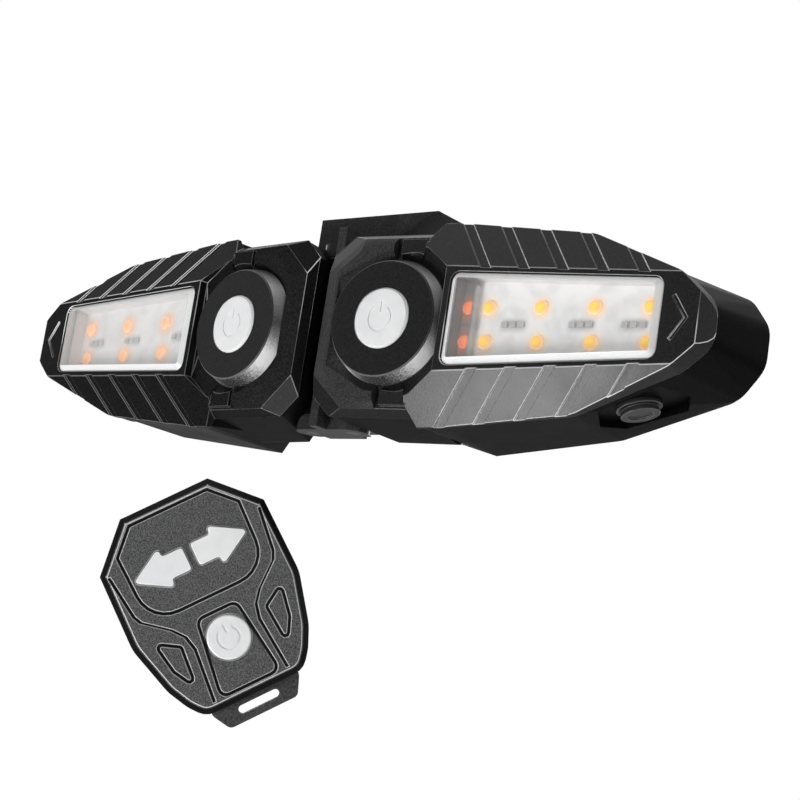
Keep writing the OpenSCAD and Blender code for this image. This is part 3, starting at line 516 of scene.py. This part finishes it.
# Rounded edges a little paler than the plastic: partly wear, partly painted highlight
WEAR_AND_HIGHLIGHT_DARK, WEAR_AND_HIGHLIGHT_LIGHT = (0.014, 0.014, 0.0145), (0.028, 0.028, 0.0285)
edge_highlights = {
    name: shell_edge_highlight(f"{name}_front_edge_highlight", name, EDGE_HIGHLIGHT_DIM, EDGE_HIGHLIGHT_BELOW[name], EDGE_HIGHLIGHT_ABOVE[name],
                     HIGHLIGHT_NEAR_HINGE[name])
    for name in SIDES
}
edge_wear_and_highlight = moulded("black_edge", WEAR_AND_HIGHLIGHT_DARK, WEAR_AND_HIGHLIGHT_LIGHT, 0.26, FINE_GRAIN, 0.4)
frame_edge = moulded("frame_edge", WEAR_AND_HIGHLIGHT_DARK, WEAR_AND_HIGHLIGHT_LIGHT, 0.4, FINE_GRAIN, 0.1)
# Port plug rims painted paler grey as highlights
plug_edge_highlight = moulded("plug_edge_highlight", (0.06, 0.06, 0.0605), (0.1, 0.1, 0.101), 0.3, FINE_GRAIN, 0.3)
# Rounded edges of the remote's face painted light grey as highlights
remote_edge_highlight = remote_case("remote_edge_highlight", grey(0.5), grey(0.62))

# Lamps, their boards and trays, and the lenses; the left wing's red lamps are unlit
COMPARTMENT = {"left": (0.66, 0.66, 0.67), "right": (0.28, 0.275, 0.27)}
# Colours of the glow of light painted on the board round the lamps
AMBER_PAINTED_HALO = {"left": (1.0, 0.58, 0.33), "right": (1.0, 0.74, 0.50)}
RED_PAINTED_HALO = {"left": COMPARTMENT["left"], "right": (0.8, 0.27, 0.13)}
# Right board glows a little as painted light from its lamps; the left does not
BOARD_PAINTED_GLOW = {"left": 0.0, "right": 0.06}
HAZE = {"left": 0.2, "right": 0.09}
amber = {
    "left": lamp_gel("left_amber_gel", (1.0, 0.38, 0.07), (1.0, 0.44, 0.14),
                     AMBER_PAINTED_HALO["left"], 0.4),
    "right": lamp_gel("right_amber_gel", (1.0, 0.62, 0.03), (1.0, 0.52, 0.12),
                      AMBER_PAINTED_HALO["right"], 0.35),
}
red = {
    "left": lamp_gel("left_red_gel_unlit", (0.62, 0.6, 0.6), (0.66, 0.65, 0.65),
                     RED_PAINTED_HALO["left"], 0.0),
    "right": lamp_gel("right_red_gel", (0.95, 0.2, 0.05), (0.88, 0.22, 0.08),
                      RED_PAINTED_HALO["right"], 0.6),
}
boards, trays, lenses = {}, {}, {}
for name, side in SIDES.items():
    boards[name] = lamp_board(f"{name}_board_white", name, AMBER_PAINTED_HALO[name], COMPARTMENT[name],
                              RED_PAINTED_HALO[name], BOARD_PAINTED_GLOW[name])
    trays[name] = white_tray(f"{name}_tray_white", name, grey(0.8), COMPARTMENT[name])
    lenses[name] = hazy_lens(f"{name}_lens_clear", front_of(side), HAZE[name])

gasket = rubber("black_rubber")
button = silicone("white_silicone")
chip = plain("chip_grey", (0.4, 0.4, 0.405), (0.52, 0.52, 0.525), 0.5)
circuit = plain("green_board", (0.01, 0.07, 0.03), (0.02, 0.11, 0.05), 0.4)
steel = plain("steel", (0.52, 0.53, 0.55), (0.64, 0.65, 0.66), 0.3, 1.0)
black_steel = plain("black_steel", (0.012, 0.012, 0.013), (0.03, 0.03, 0.031), 0.4)
cell = plain("cell_wrap", (0.12, 0.17, 0.24), (0.16, 0.22, 0.3), 0.4)

# What each node is made of: both wings alike, each wing its own, and the single nodes
WING_FINISHES = {
    "shell_seal": gasket, "port_plug": gasket, "power_button": button, "lamp_chips": chip,
    "button_switch": steel, "control_board": circuit, "battery": cell, "usb_socket": steel,
    "shell_screws": steel, "hinge_pin": black_steel, "hinge_washers": black_steel,
}
SIDE_FINISHES = {
    "front_shell": blacks, "rear_shell": shaded_rears, "button_bezel": rings, "lens": lenses,
    "lamp_tray": trays, "lamp_board": boards, "amber_leds": amber, "red_leds": red,
}
SINGLE_FINISHES = {
    "left_hinge_frame": left_trim_shaded, "right_hinge_frame": trim, "centre_bracket": trim,
    "post_saddle": black, "saddle_pad": gasket, "saddle_screws": steel,
    "remote_front_case": remote, "remote_back_case": remote_back, "remote_left_key": button,
    "remote_right_key": button, "remote_power_key": button, "remote_board": circuit,
    "remote_switches": steel, "remote_coin_cell": steel, "remote_cell_clip": steel,
    "remote_screws": steel,
}


def give(name, material):
    materials = nodes[name].data.materials
    materials.clear()
    materials.append(material)


for name, material in SINGLE_FINISHES.items():
    give(name, material)
for side in SIDES:
    for name, by_side in SIDE_FINISHES.items():
        give(f"{side}_{name}", by_side[side])
    for name, material in WING_FINISHES.items():
        give(f"{side}_{name}", material)


# Edges: points within the weld gap are made one, and faces within the flat angle, in degrees, flat

WELD_GAP = 0.002 * MM
FLAT_ANGLE = 0.3
BEVEL_SEGMENTS = 2


def soften(name, width, edge=None, angle=28, clamp=True):
    """Rounds a node's edges sharper than angle, in degrees, by width, in mm, as a mould does.

    The finish edge is for the rounded edges alone. Without clamp, an edge keeps its width where a
    narrow face lies beside it.
    """
    obj = nodes[name]
    weld = obj.modifiers.new("weld", "WELD")
    weld.merge_threshold = WELD_GAP
    flat = obj.modifiers.new("flat", "DECIMATE")
    flat.decimate_type = "DISSOLVE"
    flat.angle_limit = math.radians(FLAT_ANGLE)
    bevel = obj.modifiers.new("bevel", "BEVEL")
    bevel.width = width * MM
    bevel.segments = BEVEL_SEGMENTS
    bevel.limit_method = "ANGLE"
    bevel.angle_limit = math.radians(angle)
    bevel.use_clamp_overlap = clamp
    bevel.harden_normals = False
    if edge:
        obj.data.materials.append(edge)
        bevel.material = len(obj.data.materials) - 1
    normals = obj.modifiers.new("normals", "WEIGHTED_NORMAL")
    normals.keep_sharp = False
    normals.weight = 50


for side in SIDES:
    soften(f"{side}_front_shell", 0.12, edge_highlights[side], angle=14, clamp=False)
    soften(f"{side}_rear_shell", 0.35, edge_wear_and_highlight)
    soften(f"{side}_hinge_frame", 0.3, frame_edge)
    soften(f"{side}_lens", 0.2)
    soften(f"{side}_port_plug", 0.12, plug_edge_highlight)
soften("centre_bracket", 0.4, edge_wear_and_highlight)
soften("post_saddle", 0.5, edge_wear_and_highlight)
soften("remote_front_case", 0.12, remote_edge_highlight, clamp=False)
soften("remote_back_case", 0.3, edge_wear_and_highlight)
soften("remote_left_key", 0.2)
soften("remote_right_key", 0.2)


# Lamps

def ring_of(bm, radius, x, y, z):
    """A circle of points in x and z, counter-clockwise."""
    turns = [2 * math.pi * k / LAMP_POINTS for k in range(LAMP_POINTS)]
    return [bm.verts.new((x + radius * math.cos(a), y, z + radius * math.sin(a))) for a in turns]


def bridge(bm, first, second):
    for i in range(len(first)):
        j = (i + 1) % len(first)
        bm.faces.new((first[i], first[j], second[j], second[i]))


def add_lamp(bm, rim_layer, x, z, radius):
    """One lamp: a low round dome of gel on the board; rim keeps a point's share of the radius."""
    previous = ring_of(bm, radius, x, BOARD_Y, z)
    bm.faces.new(list(reversed(previous)))
    for vert in previous:
        vert[rim_layer] = 1.0
    for k in range(1, LAMP_RINGS):
        share = 1 - k / LAMP_RINGS
        height = LAMP_DEPTH * math.sqrt(1 - share * share)
        inner = ring_of(bm, radius * share, x, BOARD_Y - height, z)
        for vert in inner:
            vert[rim_layer] = share
        bridge(bm, inner, previous)
        previous = inner
    crown = bm.verts.new((x, BOARD_Y - LAMP_DEPTH, z))
    for i in range(len(previous)):
        bm.faces.new((crown, previous[i], previous[(i + 1) % len(previous)]))


def lamps(name, side_name, places_x, radius, gel):
    """A wing's lamps of one colour, standing for the plain lamps of the CAD model."""
    bm = bmesh.new()
    rim_layer = bm.verts.layers.float.new("rim")
    for x in places_x:
        for z in (-LAMP_ROW_Z, LAMP_ROW_Z):
            add_lamp(bm, rim_layer, x, z, radius)
    bm.transform(wing_matrix(SIDES[side_name]))
    bmesh.ops.recalc_face_normals(bm, faces=bm.faces)
    mesh = bpy.data.meshes.new(name)
    bm.to_mesh(mesh)
    bm.free()
    mesh.polygons.foreach_set("use_smooth", [True] * len(mesh.polygons))
    mesh.materials.append(gel)
    piece = bpy.data.objects.new(name, mesh)
    bpy.context.scene.collection.objects.link(piece)
    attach(piece, f"{side_name}_wing")
    return piece


for side in SIDES:
    columns = [FIRST_X[side] + i * PITCH[side] for i in range(COLUMNS[side])]
    made = lamps(f"{side}_amber_lamps", side, columns, AMBER_R, amber[side])
    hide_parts(f"{side}_amber_leds")
    made = lamps(f"{side}_red_lamps", side, [RED_X], RED_R, red[side])
    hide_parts(f"{side}_red_leds")


# Stage

def area_light(name, at, toward, width, height, power):
    """A soft box of the given size, in metres, and power, in watts."""
    data = bpy.data.lights.new(name, "AREA")
    data.shape = "RECTANGLE"
    data.size = width
    data.size_y = height
    data.energy = power
    lamp = bpy.data.objects.new(name, data)
    lamp.location = at
    lamp.rotation_mode = "QUATERNION"
    lamp.rotation_quaternion = (Vector(toward) - Vector(at)).to_track_quat("-Z", "Y")
    lamp.visible_camera = False
    bpy.context.scene.collection.objects.link(lamp)


def floor():
    mesh = bpy.data.meshes.new("floor")
    corners = [
        (x * FLOOR_HALF, y * FLOOR_HALF, FLOOR_Z) for x, y in ((-1, -1), (1, -1), (1, 1), (-1, 1))
    ]
    mesh.from_pydata(corners, [], [(0, 1, 2, 3)])
    mesh.materials.append(plain("floor_paint", grey(0.80), grey(0.84), 0.7, 0.0, 6.0))
    made = bpy.data.objects.new("floor", mesh)
    bpy.context.scene.collection.objects.link(made)


def studio_world():
    """White where the camera, metal and glass see it, and a softer grey as light."""
    world = bpy.data.worlds.new("studio")
    bpy.context.scene.world = world
    t = Tree(world)
    rays = t.add("ShaderNodeLightPath").outputs
    seen = t.math("MAXIMUM", rays["Is Camera Ray"],
                  t.math("MAXIMUM", rays["Is Glossy Ray"], rays["Is Transmission Ray"]))
    strength = t.span(seen, 0.0, 1.0, WORLD_LIGHT, 1.0)
    sky = t.add("ShaderNodeBackground", Color=(1, 1, 1, 1), Strength=strength)
    t.add("ShaderNodeOutputWorld", Surface=sky.outputs[0])


def camera():
    data = bpy.data.cameras.new("camera")
    data.lens = FOCAL_LENGTH
    data.sensor_width = SENSOR
    data.clip_start, data.clip_end = CLIP
    made = bpy.data.objects.new("camera", data)
    back = CAMERA_RIGHT.cross(CAMERA_UP).normalized()
    up = back.cross(CAMERA_RIGHT).normalized()
    turn = Matrix((CAMERA_RIGHT.normalized(), up, back)).transposed()
    made.matrix_world = Matrix.Translation(CAMERA_AT) @ turn.to_4x4()
    bpy.context.scene.collection.objects.link(made)
    bpy.context.scene.camera = made


# Lights: what each is aimed at, the direction to it, its distance, width, height and radiance.
# Radiance is against 1 for white. Small bright lights draw edges without flooding the front.
LIGHTS = {
    "facet_low_left": ((0.055, -0.047, -0.0145), (-0.385, -0.764, -0.516), 0.45, 0.12, 0.12, 29.0),
    "facet_high_left": ((-0.06, -0.045, 0.012), (-0.726, -0.223, 0.65), 0.55, 0.2, 0.2, 0.35),
    "front_right": ((0.0, -0.06, -0.062), (0.747, -0.663, 0.036), 0.5, 0.12, 0.12, 8.5),
    "edge_right": ((0.0, -0.05, 0.0), (0.91, 0.33, 0.1), 0.42, 0.16, 0.2, 1.2),
    "edge_low_right": ((0.0, -0.05, 0.0), (0.64, 0.4, -0.6), 0.4, 0.22, 0.16, 2.0),
    "key_above": ((0.0, -0.04, 0.0), (-0.3, -0.6, 0.74), 0.8, 0.5, 0.5, 0.8),
    "back_above": ((0.0, -0.02, 0.0), (-0.1, 0.95, 0.15), 0.7, 0.4, 0.35, 6.0),
    "back_left": ((0.0, -0.02, 0.0), (-0.75, 0.62, 0.25), 0.6, 0.3, 0.3, 5.0),
    "top_panel": ((0.0, 0.0, 0.0), (-0.15, 0.3, 1.0), 1.5, 1.5, 1.5, 1.6),
}
for name, (aim, direction, distance, width, height, radiance) in LIGHTS.items():
    at = Vector(aim) + distance * Vector(direction).normalized()
    area_light(name, at, aim, width, height, math.pi * width * height * radiance)
floor()
studio_world()
camera()
bpy.context.scene.view_settings.view_transform = "Standard"
